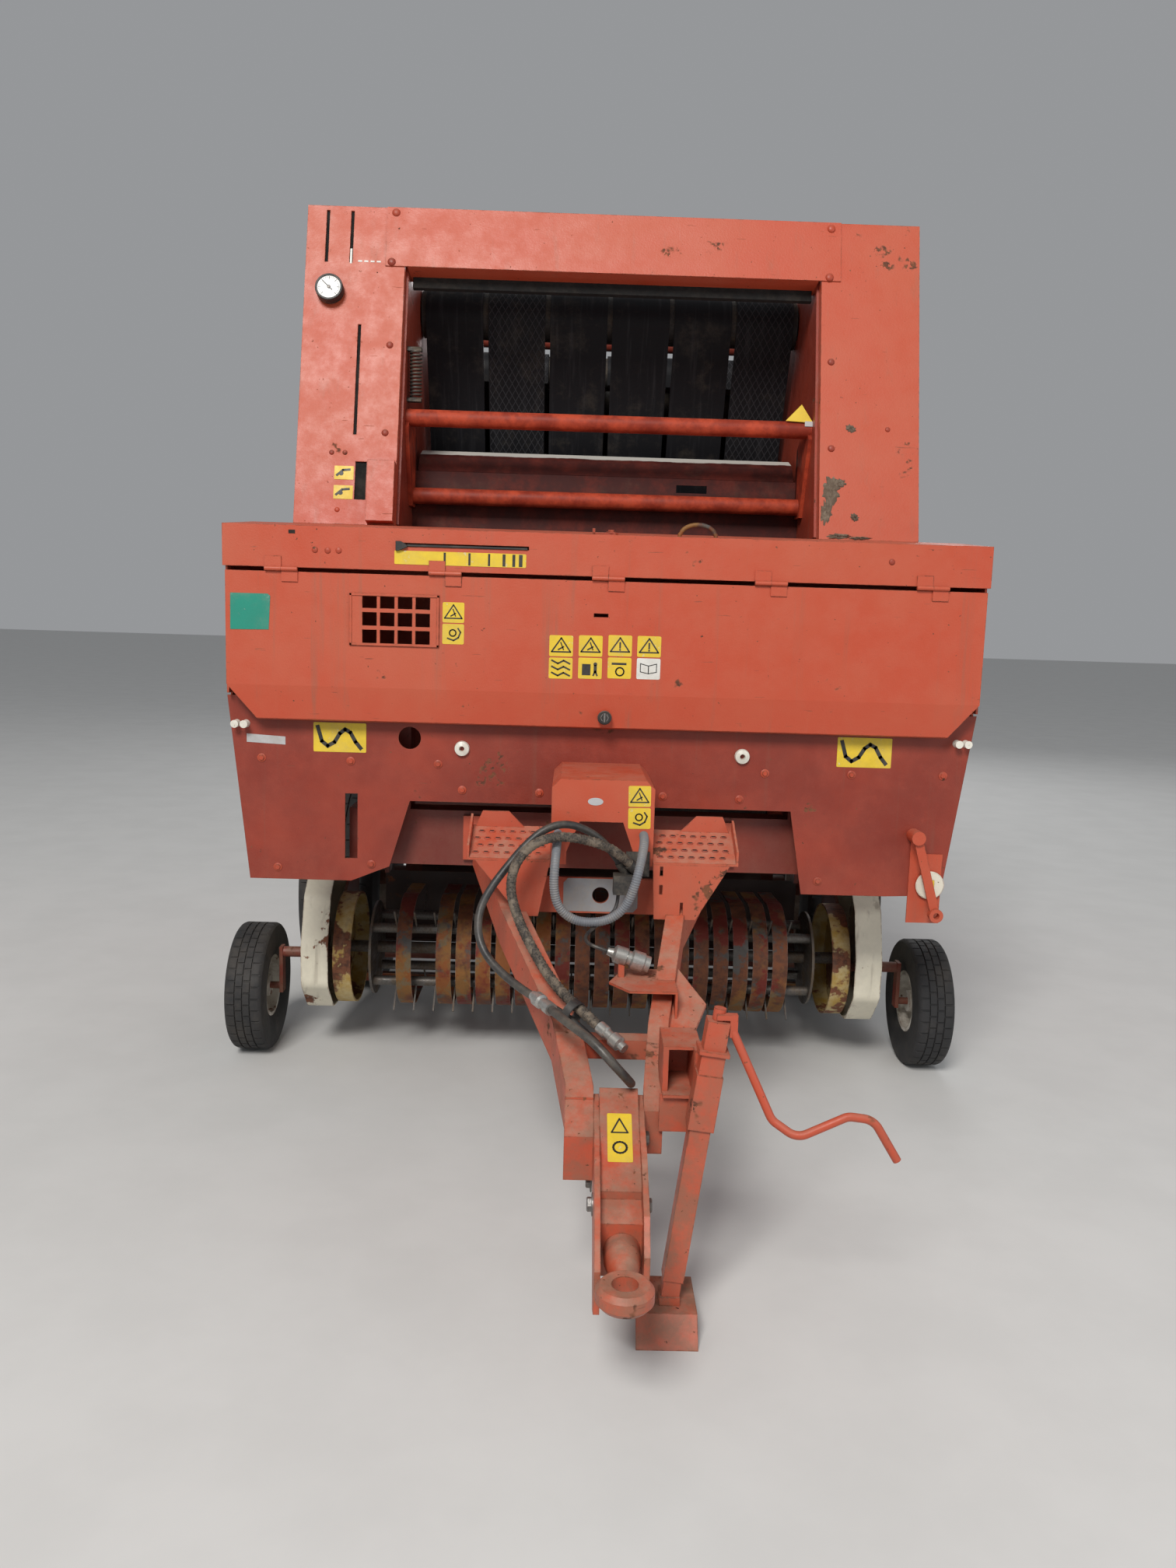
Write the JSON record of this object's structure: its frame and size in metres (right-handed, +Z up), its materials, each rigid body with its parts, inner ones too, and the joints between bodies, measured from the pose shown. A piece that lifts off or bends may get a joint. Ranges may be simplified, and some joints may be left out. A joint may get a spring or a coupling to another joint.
{
  "type": "round baler",
  "caption": "Towed round baler with a belt chamber, lifting pickup, opening tailgate, hinged covers and a parking jack.",
  "frame": {"origin": "on the ground, under the middle of the machine's box", "axes": "+Y runs rearward from the tow eye, +Z up, +X to the right seen from the tractor"},
  "size_m": [2.418, 3.8999, 2.7319],
  "materials": {
    "red_paint": "faded satin enamel, chipped and dusty",
    "dark_red_paint": "older satin enamel in the shade",
    "cream_paint": "chalky enamel with rust at its edges",
    "wheel_paint": "satin enamel",
    "rusty_bands": "rusty and polished by crop",
    "bare_steel": "worn steel with dust",
    "rod_chrome": "hard chrome",
    "dark_steel": "oily dark steel",
    "belting": "woven rubber belting, matt",
    "tyre_rubber": "dusty tyre rubber",
    "hose_rubber": "matt hose rubber",
    "hose_braid": "worn braided hose",
    "conduit_grey": "grey corrugated conduit",
    "plug_metal": "plated plug and couplers",
    "black_plastic": "black moulding",
    "porcelain": "white glazed guides",
    "lamp_red": "clear red lens plastic"
  },
  "bodies": {
    "chassis": {"chassis": "dark_red_paint", "axle": "dark_red_paint", "drawbar": "red_paint", "hitch_clevis": "red_paint", "tow_eye": "red_paint", "coupler_bracket": "dark_red_paint", "jack_body": "red_paint", "chamber_wall_left": "red_paint", "chamber_wall_right": "red_paint", "portal_left": "red_paint", "portal_right": "red_paint", "portal_beam": "red_paint", "twine_box": "red_paint", "apron": "red_paint", "pto_guard": "red_paint", "gearbox": "dark_red_paint", "steps": "dark_red_paint", "net_unit": "dark_red_paint", "front_rollers": "dark_steel", "front_belts": "belting", "chain_drive": "dark_steel", "conduit": "conduit_grey", "couplers": "plug_metal", "feed_crank": "red_paint", "hose_black": "hose_rubber", "hose_block": "black_plastic", "hose_worn": "hose_braid", "jack_crank": "red_paint", "plug_cable": "hose_rubber", "pressure_gauge": "black_plastic", "twine_guides": "porcelain"},
    "main_wheel_left": {"main_tyre_left": "tyre_rubber", "main_rim_left": "wheel_paint"},
    "main_wheel_right": {"main_tyre_right": "tyre_rubber", "main_rim_right": "wheel_paint"},
    "gauge_wheel_left": {"gauge_tyre_left": "tyre_rubber", "gauge_rim_left": "wheel_paint"},
    "gauge_wheel_right": {"gauge_tyre_right": "tyre_rubber", "gauge_rim_right": "wheel_paint"},
    "pickup": {"pickup_frame": "dark_red_paint", "pickup_bands": "rusty_bands", "pickup_shields": "cream_paint"},
    "reel": {"pickup_reel": "bare_steel"},
    "tailgate": {"tailgate_wall_left": "red_paint", "tailgate_wall_right": "red_paint", "tailgate_beams": "dark_red_paint", "tailgate_rollers": "dark_steel", "tailgate_belts": "belting", "tailgate_shields": "red_paint", "rear_lamps": "lamp_red"},
    "barrel_left": {"cylinder_barrel_left": "dark_steel"},
    "barrel_right": {"cylinder_barrel_right": "dark_steel"},
    "rod_left": {"cylinder_rod_left": "rod_chrome"},
    "rod_right": {"cylinder_rod_right": "rod_chrome"},
    "box_door": {"front_door": "red_paint"},
    "door_left": {"side_door_left": "red_paint"},
    "door_right": {"side_door_right": "red_paint"},
    "jack_foot": {"jack_leg": "red_paint"}
  },
  "joints": [
    {"name": "main_wheel_left_turn", "type": "hinge", "parent": "chassis", "child": "main_wheel_left", "pos_m": [-0.96, 0.85, 0.425], "axis": [1, 0, 0], "continuous": true},
    {"name": "gauge_wheel_left_turn", "type": "hinge", "parent": "pickup", "child": "gauge_wheel_left", "pos_m": [-1.144, 0.05, 0.215], "axis": [1, 0, 0], "continuous": true},
    {"name": "door_left_swing", "type": "hinge", "parent": "chassis", "child": "door_left", "pos_m": [-0.949, 0.056, 1.7], "axis": [0, 0, 1], "range_deg": [0, 100]},
    {"name": "barrel_left_tilt", "type": "hinge", "parent": "chassis", "child": "barrel_left", "pos_m": [-0.7, 0.8, 1.3], "axis": [1, 0, 0], "range_deg": [0, 3]},
    {"name": "rod_left_slide", "type": "slide", "parent": "barrel_left", "child": "rod_left", "axis": [0, 0.1419, 0.9899], "range_m": [0, 0.47]},
    {"name": "main_wheel_right_turn", "type": "hinge", "parent": "chassis", "child": "main_wheel_right", "pos_m": [0.96, 0.85, 0.425], "axis": [1, 0, 0], "continuous": true},
    {"name": "gauge_wheel_right_turn", "type": "hinge", "parent": "pickup", "child": "gauge_wheel_right", "pos_m": [1.144, 0.05, 0.215], "axis": [1, 0, 0], "continuous": true},
    {"name": "door_right_swing", "type": "hinge", "parent": "chassis", "child": "door_right", "pos_m": [0.949, 0.056, 1.7], "axis": [0, 0, -1], "range_deg": [0, 100]},
    {"name": "barrel_right_tilt", "type": "hinge", "parent": "chassis", "child": "barrel_right", "pos_m": [0.7, 0.8, 1.3], "axis": [1, 0, 0], "range_deg": [0, 3]},
    {"name": "rod_right_slide", "type": "slide", "parent": "barrel_right", "child": "rod_right", "axis": [0, 0.1419, 0.9899], "range_m": [0, 0.47]},
    {"name": "reel_turn", "type": "hinge", "parent": "pickup", "child": "reel", "pos_m": [0, 0.09, 0.35], "axis": [1, 0, 0], "continuous": true},
    {"name": "pickup_lift", "type": "hinge", "parent": "chassis", "child": "pickup", "pos_m": [0, 0.36, 0.6], "axis": [-1, 0, 0], "range_deg": [0, 18]},
    {"name": "tailgate_lift", "type": "hinge", "parent": "chassis", "child": "tailgate", "pos_m": [0, 0.6, 2.6], "axis": [1, 0, 0], "range_deg": [0, 65]},
    {"name": "box_door_swing", "type": "hinge", "parent": "chassis", "child": "box_door", "pos_m": [0, -0.601, 1.61], "axis": [-1, 0, 0], "range_deg": [0, 100]},
    {"name": "jack_slide", "type": "slide", "parent": "chassis", "child": "jack_foot", "axis": [0.126, 0, 0.992], "range_m": [0, 0.1]}
  ],
  "couplings": [
    {"joint": "barrel_left_tilt", "follows": "tailgate_lift", "ratio": 0.0366},
    {"joint": "rod_left_slide", "follows": "tailgate_lift", "m_per_rad": 0.39502},
    {"joint": "barrel_right_tilt", "follows": "tailgate_lift", "ratio": 0.0366},
    {"joint": "rod_right_slide", "follows": "tailgate_lift", "m_per_rad": 0.39502}
  ]
}
